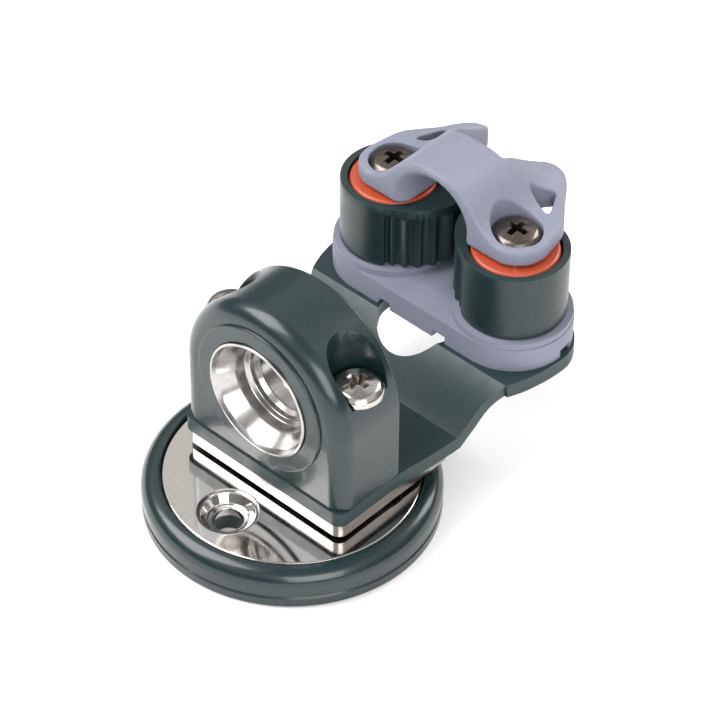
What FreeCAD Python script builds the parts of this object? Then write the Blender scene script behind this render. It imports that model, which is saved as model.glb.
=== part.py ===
import FreeCAD, Part
import math
import os
import re
import Sketcher

# Swivel-base cam cleat: a round base carries a swivelling arm with a rope eye and a two-cam cleat.
# Origin on the swivel axis at the underside of the base, +Z up, +Y from the rope eye to the cleat.

doc = FreeCAD.newDocument("swivel_cam_cleat")
sheet = doc.addObject("Spreadsheet::Sheet", "Sizes")

SIZES = {
    # round base
    "ring_radius": 25.2,
    "ring_height": 6.9,
    "ring_bead": 3.3,
    "skirt_height": 1.7,
    "skirt_groove": 0.5,
    "floor_height": 4.9,
    "disc_radius": 21.7,
    "disc_thickness": 1.6,
    "screw_circle": 14.2,
    "screw_hole": 2.6,
    "dish_radius": 4.7,
    "dish_depth": 2.0,
    "screw_phase": -94,
    # swivel bearing
    "race_outer": 7.0,
    "post_radius": 3.2,
    "post_flange": 5.2,
    "post_bore": 1.6,
    "swivel_play": 0.06,
    "race_height": 1.7,
    "ball_circle": 5.15,
    "ball_radius": 0.9,
    "ball_level": 7.0,
    "ball_play": 0.05,
    "upper_race_bottom": 7.25,
    # stainless plate under the arm
    "plate_bottom": 8.0,
    "plate_thickness": 2.2,
    "plate_width": 34.8,
    "plate_front": -7.1,
    "plate_rear": 18.6,
    "plate_corner": 1.8,
    # arm
    "arm_thickness": 2.7,
    "arm_front": -7.6,
    "arm_front_half": 17.9,
    "crease": 19.3,
    "crease_half": 19.5,
    "ramp_top": 28.0,
    "ramp_half": 22.0,
    "deck_top": 20.4,
    "deck_half": 24.3,
    "arm_rear": 50.2,
    "arm_hole_centre": 31.4,
    "arm_hole": 7.4,
    "arm_corner": 10.0,
    "arm_nose_corner": 2.0,
    # fairlead housing
    "house_front": -7.3,
    "house_rear": 6.7,
    "house_half": 17.9,
    "house_arch": 26.4,
    "house_edge": 3.2,
    "eye_level": 27.6,
    "eye_radius": 10.6,
    "boss_radius": 14.0,
    "boss_height": 0.5,
    "shoulder_x": 14.0,
    "shoulder_y": 0.6,
    "shoulder_floor": 31.8,
    "shoulder_radius": 4.9,
    # rope eye liner
    "liner_radius": 10.5,
    "throat_radius": 6.3,
    "liner_lip": 0.4,
    # screws
    "thread_radius": 2.0,
    "thread_play": 0.05,
    "thread_hole": 2.1,
    "head_radius": 4.0,
    "head_height": 2.4,
    "cross_reach": 2.1,
    "cross_half": 0.55,
    "cross_depth": 1.5,
    "nut_across": 7.0,
    "nut_height": 3.2,
    # cleat
    "cam_x": 13.5,
    "cam_y": 39.1,
    "base_end": 10.3,
    "seat_top": 26.1,
    "seat_radius": 9.9,
    "bed_top": 24.9,
    "notch_x": 6.2,
    "notch_half": 1.4,
    "notch_height": 1.5,
    "notch_reach": 1.6,
    "cam_bottom": 26.4,
    "cam_height": 12.4,
    "cam_back": 9.1,
    "cam_bore": 7.1,
    "cam_grip": 12.2,
    "cam_rate": 0.3375,
    "ring_pocket": 7.8,
    "ring_pocket_depth": 1.9,
    "hub_radius": 4.6,
    "hub_top": 39.3,
    "hub_foot": 7.0,
    "hub_foot_height": 0.9,
    "cam_ball": 1.2,
    "cam_ball_circle": 5.85,
    "lower_row": 32.6,
    "upper_row": 35.6,
    "keeper_inner": 4.7,
    "keeper_outer": 7.5,
    "keeper_height": 1.7,
    "spring_wire": 0.35,
    "spring_coil": 5.95,
    "spring_pitch": 0.64,
    # saddle over the cams
    "saddle_front": 33.2,
    "saddle_rear": 56.0,
    "saddle_bottom": 39.3,
    "pad_top": 42.6,
    "dome_radius": 11.2,
    "dome_centre": 39.0,
    "foot_radius": 6.1,
    "tunnel_radius": 6.2,
    "tunnel_centre": 41.0,
    "mouth_radius": 7.6,
    "mouth_depth": 2.8,
    "crown_rear": 45.2,
    "ear_inner": 6.6,
    "ear_tip_level": 43.6,
    "wing_x": 19.3,
    "wing_y": 41.0,
    "tip_x": 11.4,
    "tip_y": 54.6,
    "tip_end_x": 9.3,
    "head_seat": 39.8,
    "head_pocket": 4.4,
}

for row, (name, value) in enumerate(SIZES.items(), start=1):
    sheet.set(f"A{row}", name)
    sheet.set(f"B{row}", str(value))
    sheet.setAlias(f"B{row}", name)
doc.recompute()

parts = []


# ---------------------------------------------------------------- helpers

def bound(text):
    """Expression text with every size name pointed at the sheet."""
    def aliased(found):
        word = found.group()
        return "Sizes." + word if word in SIZES else word
    return re.sub(r"[a-z]+(?:_[a-z]+)*", aliased, str(text))


def number(text):
    """Value of an expression over the sheet, in mm."""
    value = sheet.evalExpression(bound(text))
    return float(getattr(value, "Value", value))


def place(item, x="0", y="0", z="0"):
    """Move an object to a place that follows the sheet."""
    for axis, text in zip("xyz", (x, y, z)):
        item.setExpression(f"Placement.Base.{axis}", bound(text))
    return item


def keep(item):
    """Mark an object as a finished sub-part."""
    parts.append(item)
    return item


def sketch_on(body, plane):
    """Empty sketch on one of the body's own origin planes."""
    sketch = body.newObject("Sketcher::SketchObject", body.Name + "_sketch")
    support = [item for item in body.Origin.OriginFeatures if item.Role == plane]
    sketch.AttachmentSupport = [(support[0], "")]
    sketch.MapMode = "FlatFace"
    return sketch


def bind_vertex(sketch, geometry, vertex, place_texts):
    """Tie a sketch vertex to two expressions measured from the sketch's origin."""
    for kind, axis, text in zip(("DistanceX", "DistanceY"), (-2, -1), place_texts):
        value = number(text)
        if abs(value) < 1e-9:
            sketch.addConstraint(Sketcher.Constraint("PointOnObject", geometry, vertex, axis))
            continue
        ends = (-1, 1, geometry, vertex) if value > 0 else (geometry, vertex, -1, 1)
        index = sketch.addConstraint(Sketcher.Constraint(kind, *ends, abs(value)))
        sign = "" if value > 0 else "-1 * "
        sketch.setExpression(f"Constraints[{index}]", bound(f"{sign}({text})"))


def draw_outline(sketch, corners):
    """Closed outline of straight edges through bound corners."""
    points = [FreeCAD.Vector(number(x), number(y), 0) for x, y in corners]
    count = len(points)
    first = sketch.GeometryCount
    for index in range(count):
        sketch.addGeometry(Part.LineSegment(points[index], points[(index + 1) % count]))
    for index in range(count):
        following = first + (index + 1) % count
        sketch.addConstraint(Sketcher.Constraint("Coincident", first + index, 2, following, 1))
    for index, corner in enumerate(corners):
        bind_vertex(sketch, first + index, 1, corner)


def turned(label, profile, x="0", y="0", z="0"):
    """Body turned about Z from a profile of (radius, height) corners."""
    body = doc.addObject("PartDesign::Body", label)
    sketch = sketch_on(body, "XZ_Plane")
    draw_outline(sketch, profile)
    turn = body.newObject("PartDesign::Revolution", label + "_turn")
    turn.Profile = sketch
    turn.ReferenceAxis = (sketch, ["V_Axis"])
    turn.Angle = 360
    return place(body, x, y, z)


def plate(label, outline, thickness, z="0", plane="XY_Plane", middle=False):
    """Body of one flat outline given a thickness."""
    body = doc.addObject("PartDesign::Body", label)
    sketch = sketch_on(body, plane)
    draw_outline(sketch, outline)
    pad = body.newObject("PartDesign::Pad", label + "_pad")
    pad.Profile = sketch
    pad.setExpression("Length", bound(thickness))
    pad.Midplane = middle
    return place(body, z=z)


def cylinder(label, radius, height, x="0", y="0", z="0", along_y=False):
    item = doc.addObject("Part::Cylinder", label)
    item.setExpression("Radius", bound(radius))
    item.setExpression("Height", bound(height))
    if along_y:
        item.Placement.Rotation = FreeCAD.Rotation(FreeCAD.Vector(1, 0, 0), -90)
    return place(item, x, y, z)


def cone(label, low, high, height, x="0", y="0", z="0", along_y=False):
    item = doc.addObject("Part::Cone", label)
    item.setExpression("Radius1", bound(low))
    item.setExpression("Radius2", bound(high))
    item.setExpression("Height", bound(height))
    if along_y:
        item.Placement.Rotation = FreeCAD.Rotation(FreeCAD.Vector(1, 0, 0), -90)
    return place(item, x, y, z)


def box(label, x_range, y_range, z_range):
    item = doc.addObject("Part::Box", label)
    for side, (low, high) in zip(("Length", "Width", "Height"), (x_range, y_range, z_range)):
        item.setExpression(side, bound(f"({high}) - ({low})"))
    return place(item, x_range[0], y_range[0], z_range[0])


def fuse(label, *items):
    joined = doc.addObject("Part::MultiFuse", label)
    joined.Shapes = list(items)
    joined.Refine = True
    return joined


def cut(label, base, *tools):
    cutter = tools[0] if len(tools) == 1 else fuse(label + "_cutter", *tools)
    result = doc.addObject("Part::Cut", label)
    result.Base = base
    result.Tool = cutter
    result.Refine = True
    return result


def common(label, first, second):
    result = doc.addObject("Part::Common", label)
    result.Base = first
    result.Tool = second
    result.Refine = True
    return result


def group(label, items):
    result = doc.addObject("Part::Compound", label)
    result.Links = items
    return result


def mirrored(label, item):
    """The same piece on the other side of the X = 0 plane."""
    other = doc.addObject("Part::Mirroring", label)
    other.Source = item
    other.Normal = FreeCAD.Vector(1, 0, 0)
    return other


def rounded(label, item, radius, chosen):
    """Fillet the edges that the test picks."""
    doc.recompute()
    edges = [index for index, edge in enumerate(item.Shape.Edges, start=1) if chosen(edge)]
    fillet = doc.addObject("Part::Fillet", label)
    fillet.Base = item
    fillet.Edges = [(index, number(radius), number(radius)) for index in edges]
    return fillet


def upright_at(x, y, reach=0.3):
    """Test for an upright edge near (|x|, y)."""
    def test(edge):
        middle = edge.CenterOfMass
        box_size = edge.BoundBox
        upright = box_size.XLength < 1e-3 and box_size.YLength < 1e-3
        return upright and abs(abs(middle.x) - number(x)) < reach and abs(middle.y - number(y)) < reach
    return test


def both_sides(corners):
    """Right-hand corners followed by their mirror images, front to rear and back."""
    left = [(f"-1 * ({x})", y) for x, y in reversed(corners)]
    return corners + left


def cross_recess(label, x, y, top):
    """Cutter for a cross recess in a screw head."""
    z_range = (f"{top} - cross_depth", f"{top} + 1")
    long_x = (f"{x} - cross_reach", f"{x} + cross_reach")
    long_y = (f"{y} - cross_reach", f"{y} + cross_reach")
    short_x = (f"{x} - cross_half", f"{x} + cross_half")
    short_y = (f"{y} - cross_half", f"{y} + cross_half")
    long_arm = box(label + "_long", long_x, short_y, z_range)
    wide_arm = box(label + "_wide", short_x, long_y, z_range)
    return fuse(label, long_arm, wide_arm)


def pan_screw(label, x, y, top, tip):
    """Pan-head screw, head up, with a cross recess."""
    seat = f"{top} - head_height"
    profile = [
        ("0", tip),
        ("thread_radius - 0.4", tip),
        ("thread_radius", f"{tip} + 0.4"),
        ("thread_radius", seat),
        ("head_radius", seat),
        ("head_radius", f"{seat} + 0.9"),
        ("head_radius - 0.7", f"{top} - 0.55"),
        ("head_radius - 2", top),
        ("0", top),
    ]
    blank = turned(label + "_blank", profile, x, y)
    return cut(label, blank, cross_recess(label + "_cross", x, y, top))


def ball_row(label, radius, circle, level, count, x="0", y="0"):
    """Ring of loose bearing balls."""
    balls = []
    for index in range(count):
        ball = doc.addObject("Part::Sphere", f"{label}_{index}")
        ball.setExpression("Radius", bound(radius))
        angle = f"{360 * index / count}"
        place(ball, f"{x} + {circle} * cos({angle})", f"{y} + {circle} * sin({angle})", level)
        balls.append(ball)
    return group(label, balls)


# ---------------------------------------------------------------- round base

def screw_places():
    """The three base screw holes, spaced evenly on their circle."""
    for index in range(3):
        angle = f"(screw_phase + {120 * index})"
        yield f"screw_circle * cos({angle})", f"screw_circle * sin({angle})"


def make_base_ring():
    """Moulded ring with a rounded bead, a skirt line and a floor under the disc."""
    profile = [
        ("post_flange + 0.6", "0"),
        ("ring_radius", "0"),
        ("ring_radius", "skirt_height"),
        ("ring_radius - skirt_groove", "skirt_height + 0.3"),
        ("ring_radius", "skirt_height + 0.8"),
        ("ring_radius", "ring_height - 3"),
        ("ring_radius - 0.5", "ring_height - 1.3"),
        ("ring_radius - 1.3", "ring_height - 0.35"),
        ("ring_radius - ring_bead / 1.8", "ring_height"),
        ("disc_radius + 0.6", "ring_height - 0.1"),
        ("disc_radius + 0.15", "ring_height - 0.6"),
        ("disc_radius + 0.15", "floor_height"),
        ("post_radius + 0.05", "floor_height"),
        ("post_radius + 0.05", "2.3"),
        ("post_flange + 0.6", "2.3"),
    ]
    blank = turned("base_ring_blank", profile)
    dish_floor = "floor_height + disc_thickness - dish_depth"
    tools = []
    for index, (x, y) in enumerate(screw_places()):
        tools.append(cylinder(f"ring_hole_{index}", "screw_hole", "20", x, y, "-5"))
        seat = f"{dish_floor} - disc_thickness"
        tools.append(cylinder(f"ring_dish_{index}", "dish_radius + 0.1", "20", x, y, seat))
    keep(cut("base_ring", blank, *tools))


def make_base_disc():
    """Polished disc, pressed down into a round dish at each screw hole."""
    top = "floor_height + disc_thickness"
    rim = "dish_radius - 1.5"
    skin = [
        ("race_outer + 0.1", "floor_height"),
        ("disc_radius", "floor_height"),
        ("disc_radius", f"{top} - 0.5"),
        ("disc_radius - 0.5", top),
        ("race_outer + 0.1", top),
    ]
    dish = [
        ("screw_hole", f"{top} - dish_depth - disc_thickness"),
        ("dish_radius", f"{top} - dish_depth - disc_thickness"),
        ("dish_radius", top),
        (rim, f"{top} - dish_depth"),
        ("screw_hole", f"{top} - dish_depth"),
    ]
    solids = [turned("disc_skin", skin)]
    openings = []
    race_clearance = "race_outer + 0.1"
    for index, (x, y) in enumerate(screw_places()):
        openings.append(cylinder(f"disc_dish_opening_{index}", "dish_radius - 0.05", "20", x, y, "0"))
        solids.append(turned(f"disc_dish_{index}", dish, x, y))
    pierced = cut("disc_pierced", solids[0], *openings)
    whole = fuse("disc_whole", pierced, *solids[1:])
    keep(cut("base_disc", whole, cylinder("disc_centre", race_clearance, "20")))


def make_swivel_bearing():
    """Hollow rivet, two races, one row of balls and a washer under the rivet's head."""
    head = "plate_bottom + plate_thickness + 0.6"
    post = [
        ("post_bore", "0.4"),
        ("post_flange", "0.4"),
        ("post_flange", "2.3"),
        ("post_radius", "2.3"),
        ("post_radius", head),
        ("post_flange", head),
        ("post_flange", f"{head} + 1"),
        ("post_flange - 0.6", f"{head} + 1.6"),
        ("post_bore", f"{head} + 1.6"),
    ]
    keep(turned("swivel_post", post))
    groove = doc.addObject("Part::Torus", "ball_groove")
    groove.setExpression("Radius1", bound("ball_circle"))
    groove.setExpression("Radius2", bound("ball_radius + ball_play"))
    place(groove, z="ball_level")
    lower = [
        ("post_radius + 0.02", "floor_height"),
        ("race_outer", "floor_height"),
        ("race_outer", "floor_height + race_height"),
        ("post_radius + 0.02", "floor_height + race_height"),
    ]
    keep(cut("lower_race", turned("lower_race_blank", lower), groove))
    upper = [
        ("post_radius + swivel_play", "upper_race_bottom"),
        ("race_outer", "upper_race_bottom"),
        ("race_outer", "plate_bottom + plate_thickness"),
        ("post_radius + swivel_play", "plate_bottom + plate_thickness"),
    ]
    keep(cut("upper_race", turned("upper_race_blank", upper), groove))
    keep(ball_row("swivel_balls", "ball_radius", "ball_circle", "ball_level", 16))
    washer = [
        ("post_radius + swivel_play", "plate_bottom + plate_thickness + 0.03"),
        ("post_flange", "plate_bottom + plate_thickness + 0.03"),
        ("post_flange", f"{head} - 0.03"),
        ("post_radius + swivel_play", f"{head} - 0.03"),
    ]
    keep(turned("thrust_washer", washer))


# ---------------------------------------------------------------- swivelling arm

def make_swivel_plate():
    """Stainless plate that the arm and housing are screwed to."""
    half = "plate_width / 2"
    outline = both_sides([(half, "plate_front"), (half, "plate_rear")])
    blank = plate("plate_blank", outline, "plate_thickness", "plate_bottom")
    tools = [cylinder("plate_centre", "race_outer + 0.02", "20")]
    for side in (1, -1):
        x = f"{side} * shoulder_x"
        tools.append(cylinder(f"plate_tap_{side + 1}", "thread_radius + thread_play", "20", x, "shoulder_y"))
    pierced = cut("plate_pierced", blank, *tools)
    corner = upright_at("plate_width / 2", "plate_front")
    keep(rounded("swivel_plate", pierced, "plate_corner", corner))


def make_swivel_arm():
    """Moulded arm: flat under the housing, ramped up to a wide deck that carries the cleat."""
    low = "plate_bottom + plate_thickness"
    deck_under = "deck_top - arm_thickness"
    side = [
        ("arm_front", low),
        ("crease + 0.9", low),
        ("ramp_top + 0.9", deck_under),
        ("arm_rear", deck_under),
        ("arm_rear", "deck_top"),
        ("ramp_top", "deck_top"),
        ("crease", f"{low} + arm_thickness"),
        ("arm_front", f"{low} + arm_thickness"),
    ]
    profile = plate("arm_side", side, "60", plane="YZ_Plane", middle=True)
    plan = both_sides([
        ("arm_front_half", "arm_front"),
        ("crease_half - 0.5", "crease - 5"),
        ("crease_half", "crease"),
        ("ramp_half", "ramp_top - 0.5"),
        ("deck_half", "cam_y - 2"),
        ("deck_half", "arm_rear"),
    ])
    outline = plate("arm_plan", plan, "30")
    blank = common("arm_blank", profile, outline)
    tools = [
        cylinder("arm_centre", "post_flange + 0.6", "20"),
        cylinder("arm_window", "arm_hole", "40", y="arm_hole_centre"),
    ]
    for sign in (1, -1):
        end = sign + 1
        tools.append(cylinder(f"arm_tap_{end}", "thread_hole", "20", f"{sign} * shoulder_x", "shoulder_y"))
        tools.append(cylinder(f"arm_bolt_{end}", "thread_hole", "40", f"{sign} * cam_x", "cam_y"))
    pierced = cut("arm_pierced", blank, *tools)
    rear = rounded("arm_rear_round", pierced, "arm_corner", upright_at("deck_half", "arm_rear"))
    keep(rounded("swivel_arm", rear, "arm_nose_corner", upright_at("arm_front_half", "arm_front")))


def make_housing():
    """Arch-shaped block around the rope eye, with a screw pocket in each shoulder."""
    foot = "plate_bottom + plate_thickness + arm_thickness"
    half = ("-house_half", "house_half")
    depth = "house_rear - house_front"
    block = box("house_block", half, ("house_front", "house_rear"), (foot, "house_arch"))
    arch = cylinder("house_arch_top", "house_half", depth, y="house_front", z="house_arch", along_y=True)
    whole = fuse("house_whole", block, arch)
    solid = cut("house_solid", whole, box("house_under", ("-30", "30"), ("-20", "20"), ("-10", foot)))

    def front_arch(edge):
        middle = edge.CenterOfMass
        return abs(edge.BoundBox.YMax - number("house_front")) < 1e-3 and middle.z > number(foot) + 1

    softened = rounded("house_softened", solid, "house_edge", front_arch)
    boss_front = "house_front - boss_height"
    boss = cylinder("house_boss", "boss_radius", "2", y=boss_front, z="eye_level", along_y=True)
    body = fuse("house_body", softened, boss)
    tools = [cylinder("house_eye", "eye_radius", "40", y="-20", z="eye_level", along_y=True)]
    for side in (1, -1):
        x = f"{side} * shoulder_x"
        end = side + 1
        pocket = cylinder(f"house_pocket_{end}", "shoulder_radius", "30", x, "shoulder_y", "shoulder_floor")
        tools.append(pocket)
        tools.append(cylinder(f"house_screw_hole_{end}", "thread_hole", "60", x, "shoulder_y"))
    keep(cut("fairlead_housing", body, *tools))


def make_liner():
    """Polished rope eye liner, flared at both mouths, held in the housing's bore."""
    length = "house_rear - house_front + boss_height + liner_lip"
    profile = [
        ("liner_radius", "0"),
        ("liner_radius", length),
        ("liner_radius - 0.8", f"{length} + 0.2"),
        ("throat_radius + 1.2", f"{length} - 2.4"),
        ("throat_radius + 0.3", f"{length} - 4"),
        ("throat_radius", f"{length} - 5"),
        ("throat_radius", "7"),
        ("throat_radius + 0.5", "5.6"),
        ("throat_radius + 1.2", "5"),
        ("throat_radius + 1.4", "3.4"),
        ("liner_radius - 1.2", "0.6"),
        ("liner_radius - 0.5", "0"),
    ]
    liner = turned("bullseye", profile)
    liner.Placement.Rotation = FreeCAD.Rotation(FreeCAD.Vector(1, 0, 0), -90)
    keep(place(liner, y="house_front - boss_height - liner_lip", z="eye_level"))


def make_housing_screws():
    """Two screws hold the housing and arm down on the tapped plate."""
    top = "shoulder_floor + head_height"
    screw = pan_screw("housing_screw_right", "shoulder_x", "shoulder_y", top, "plate_bottom + 0.1")
    keep(group("housing_screws", [screw, mirrored("housing_screw_left", screw)]))


# ---------------------------------------------------------------- cleat

def make_cleat_base():
    """Moulded stadium base with two raised round cam seats and drain notches."""
    depth_range = ("cam_y - base_end", "cam_y + base_end")
    rounds = [box("base_middle", ("-cam_x", "cam_x"), depth_range, ("deck_top", "bed_top"))]
    for side in (1, -1):
        end = side + 1
        x = f"{side} * cam_x"
        seat_height = "seat_top - bed_top"
        rounds.append(cylinder(f"base_end_{end}", "base_end", "bed_top - deck_top", x, "cam_y", "deck_top"))
        rounds.append(cylinder(f"base_seat_{end}", "seat_radius", seat_height, x, "cam_y", "bed_top"))
    solid = fuse("base_solid", *rounds)
    notch_top = "deck_top + notch_height"
    tools = []
    for side in (1, -1):
        end = side + 1
        x = f"{side} * cam_x"
        tools.append(cylinder(f"base_bolt_{end}", "thread_hole", "40", x, "cam_y"))
        for face, y in (("front", "cam_y - base_end"), ("rear", "cam_y + base_end")):
            x_range = (f"{side} * notch_x - notch_half", f"{side} * notch_x + notch_half")
            y_range = (f"{y} - notch_reach", f"{y} + notch_reach")
            tools.append(box(f"notch_{face}_{end}", x_range, y_range, ("deck_top", notch_top)))
        edge = f"{side} * (cam_x + base_end)"
        x_range = (f"{edge} - notch_reach", f"{edge} + notch_reach")
        y_range = ("cam_y + 0.4", "cam_y + 0.4 + 2 * notch_half")
        tools.append(box(f"notch_end_{end}", x_range, y_range, ("deck_top", notch_top)))
    keep(cut("cleat_base", solid, *tools))


def cam_outline():
    """Round back joined to a toothed grip whose radius grows towards the rear of the cleat."""
    start = math.radians(-62)
    end = math.radians(30)
    teeth = 9
    step = (end - start) / teeth
    grip = []
    for index in range(teeth + 1):
        angle = start + index * step
        tip = number("cam_grip") * math.exp(number("cam_rate") * angle)
        grip.append((max(tip, number("cam_back")), angle))
        if index < teeth:
            grip.append((max(tip, number("cam_back")) - 0.55, angle + step * 0.35))
    return grip


def make_cam():
    """Toothed cam for the left side; the right one is its mirror image."""
    centre = FreeCAD.Vector(-number("cam_x"), number("cam_y"), number("cam_bottom"))
    grip = cam_outline()
    points = [FreeCAD.Vector(radius * math.cos(angle), radius * math.sin(angle), 0) for radius, angle in grip]
    back = number("cam_back")
    leave = math.radians(72)
    back_start = FreeCAD.Vector(back * math.cos(leave), back * math.sin(leave), 0)
    back_middle = FreeCAD.Vector(-back, 0, 0)
    edges = [Part.LineSegment(a, b).toShape() for a, b in zip(points, points[1:])]
    edges.append(Part.LineSegment(points[-1], back_start).toShape())
    edges.append(Part.Arc(back_start, back_middle, points[0]).toShape())
    blank = Part.Face(Part.Wire(edges)).extrude(FreeCAD.Vector(0, 0, number("cam_height")))
    bore = Part.makeCylinder(number("cam_bore"), 30, FreeCAD.Vector(0, 0, -5))
    pocket_level = number("cam_height - ring_pocket_depth")
    pocket = Part.makeCylinder(number("ring_pocket"), 30, FreeCAD.Vector(0, 0, pocket_level))
    left = doc.addObject("Part::Feature", "cam_left")
    left.Shape = blank.cut(bore.fuse(pocket))
    left.Placement = FreeCAD.Placement(centre, FreeCAD.Rotation())
    keep(left)
    keep(mirrored("cam_right", left))


def make_cam_bearings():
    """Hub, two ball rows, ball keeper and return spring for each cam."""
    hub = [
        ("thread_hole", "seat_top"),
        ("hub_foot", "seat_top"),
        ("hub_foot", "seat_top + hub_foot_height"),
        ("hub_radius", "seat_top + hub_foot_height"),
        ("hub_radius", "hub_top"),
        ("thread_hole", "hub_top"),
    ]
    keeper_low = "cam_bottom + cam_height - ring_pocket_depth + 0.25"
    keeper = [
        ("keeper_inner", keeper_low),
        ("keeper_outer", keeper_low),
        ("keeper_outer", f"{keeper_low} + keeper_height - 0.5"),
        ("keeper_outer - 0.5", f"{keeper_low} + keeper_height"),
        ("keeper_inner", f"{keeper_low} + keeper_height"),
    ]
    for side, sign in (("right", 1), ("left", -1)):
        x = f"{sign} * cam_x"
        keep(turned(f"hub_{side}", hub, x, "cam_y"))
        keep(turned(f"ball_keeper_{side}", keeper, x, "cam_y"))
        for row_name in ("lower_row", "upper_row"):
            label = f"{row_name.split('_')[0]}_balls_{side}"
            keep(ball_row(label, "cam_ball", "cam_ball_circle", row_name, 14, x, "cam_y"))


def make_springs():
    """Close-wound return spring of round wire around each hub, drawn as a stack of touching turns."""
    for side, sign in (("right", 1), ("left", -1)):
        turns = []
        for index in range(4):
            turn = doc.addObject("Part::Torus", f"spring_turn_{side}_{index}")
            turn.setExpression("Radius1", bound("spring_coil"))
            turn.setExpression("Radius2", bound("spring_wire"))
            level = f"seat_top + hub_foot_height + spring_wire + 0.1 + {index} * spring_pitch"
            place(turn, f"{sign} * cam_x", "cam_y", level)
            turns.append(turn)
        keep(fuse(f"return_spring_{side}", *turns))


def make_saddle():
    """One-piece rope guide over the cams: two feet, a domed arch and two rear ears."""
    plan_half = [
        ("cam_x", "saddle_front"),
        ("wing_x", "wing_y"),
        ("tip_x", "tip_y"),
        ("tip_end_x", "saddle_rear"),
    ]
    plan = plate("saddle_plan", both_sides(plan_half), "30", "saddle_bottom")
    feet = []
    for side in (1, -1):
        x = f"{side} * cam_x"
        feet.append(cylinder(f"saddle_foot_{side + 1}", "foot_radius", "30", x, "cam_y", "saddle_bottom"))
    outline = fuse("saddle_outline", plan, *feet)
    depth = "saddle_rear - saddle_front"
    y_range = ("saddle_front - 1", "saddle_rear")
    slab = box("saddle_slab", ("-25", "25"), y_range, ("saddle_bottom", "pad_top"))
    dome = cylinder("saddle_dome", "dome_radius", depth, y="saddle_front", z="dome_centre", along_y=True)
    blank = common("saddle_blank", outline, fuse("saddle_top", slab, dome))
    slope = [
        ("crown_rear", "dome_centre + dome_radius + 0.2"),
        ("saddle_rear + 1", "ear_tip_level"),
        ("saddle_rear + 1", "dome_centre + dome_radius + 5"),
        ("crown_rear", "dome_centre + dome_radius + 5"),
    ]
    tunnel_x = ("-tunnel_radius", "tunnel_radius")
    tunnel_y = ("saddle_front - 5", "saddle_rear + 5")
    gap_x = ("-ear_inner", "ear_inner")
    gap_y = ("crown_rear", "saddle_rear + 5")
    tunnel_at = {"z": "tunnel_centre", "along_y": True}
    tools = [
        plate("saddle_slope", slope, "60", plane="YZ_Plane", middle=True),
        cylinder("saddle_tunnel", "tunnel_radius", "40", y="saddle_front - 5", **tunnel_at),
        box("saddle_tunnel_foot", tunnel_x, tunnel_y, ("saddle_bottom - 1", "tunnel_centre")),
        cone("saddle_mouth", "mouth_radius", "tunnel_radius", "mouth_depth", y="saddle_front", **tunnel_at),
        box("saddle_gap", gap_x, gap_y, ("saddle_bottom - 1", "60")),
    ]
    window = [("9.4", "46.6"), ("15.2", "44.9"), ("12.1", "50.4")]
    for side in (1, -1):
        end = side + 1
        x = f"{side} * cam_x"
        tools.append(cylinder(f"saddle_head_{end}", "head_pocket", "30", x, "cam_y", "head_seat"))
        tools.append(cylinder(f"saddle_bolt_{end}", "thread_hole", "60", x, "cam_y"))
        corners = [(f"{side} * {a}", b) for a, b in window]
        tools.append(plate(f"saddle_window_{end}", corners, "60"))
    keep(cut("cleat_saddle", blank, *tools))


def make_cleat_fasteners():
    """Two long screws clamp saddle, hubs and base to the arm's deck, with hex nuts below it."""
    top = "head_seat + head_height"
    under = "deck_top - arm_thickness"
    tip = f"{under} - nut_height - 0.8"
    screw = pan_screw("cleat_screw_right", "cam_x", "cam_y", top, tip)
    keep(group("cleat_screws", [screw, mirrored("cleat_screw_left", screw)]))
    nut_blank = doc.addObject("Part::Prism", "nut_blank")
    nut_blank.Polygon = 6
    nut_blank.setExpression("Circumradius", bound("nut_across / 2 / cos(30)"))
    nut_blank.setExpression("Height", bound("nut_height"))
    place(nut_blank, "cam_x", "cam_y", f"{under} - nut_height")
    thread = cylinder("nut_thread", "thread_radius + 0.02", "60", "cam_x", "cam_y")
    nut = cut("cleat_nut_right", nut_blank, thread)
    keep(group("cleat_nuts", [nut, mirrored("cleat_nut_left", nut)]))


make_base_ring()
make_base_disc()
make_swivel_bearing()
make_swivel_plate()
make_swivel_arm()
make_housing()
make_liner()
make_housing_screws()
make_cleat_base()
make_cam()
make_cam_bearings()
make_springs()
make_saddle()
make_cleat_fasteners()
doc.recompute()

for item in doc.Objects:
    if "Invalid" in item.State or "Error" in item.State:
        raise RuntimeError(f"{item.Name} did not build: {item.State}")
for part in parts:
    if part.Shape.isNull() or not part.Shape.isValid():
        raise RuntimeError(f"{part.Name} has no valid shape")

os.makedirs("parts", exist_ok=True)
for part in parts:
    part.Shape.exportStep(f"parts/{part.Label}.step")
    size = part.Shape.BoundBox
    print(f"{part.Label:22s} solids {len(part.Shape.Solids):3d} volume {part.Shape.Volume:9.1f}"
          f" z {size.ZMin:6.2f} to {size.ZMax:6.2f}")
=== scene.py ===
import bmesh
import bpy
import math
from mathutils import Matrix, Vector


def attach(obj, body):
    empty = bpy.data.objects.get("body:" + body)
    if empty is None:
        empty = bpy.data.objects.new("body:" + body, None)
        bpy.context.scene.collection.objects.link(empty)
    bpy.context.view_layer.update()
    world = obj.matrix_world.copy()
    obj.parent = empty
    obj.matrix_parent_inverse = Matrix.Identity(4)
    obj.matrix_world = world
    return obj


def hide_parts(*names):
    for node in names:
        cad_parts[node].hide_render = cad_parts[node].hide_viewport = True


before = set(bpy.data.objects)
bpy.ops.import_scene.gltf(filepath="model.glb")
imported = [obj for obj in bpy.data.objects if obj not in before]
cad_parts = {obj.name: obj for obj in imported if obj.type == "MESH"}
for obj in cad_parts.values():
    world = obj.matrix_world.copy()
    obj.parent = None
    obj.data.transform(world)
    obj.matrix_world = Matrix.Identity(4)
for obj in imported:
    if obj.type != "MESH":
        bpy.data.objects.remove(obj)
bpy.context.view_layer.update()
mm = 0.001


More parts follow.
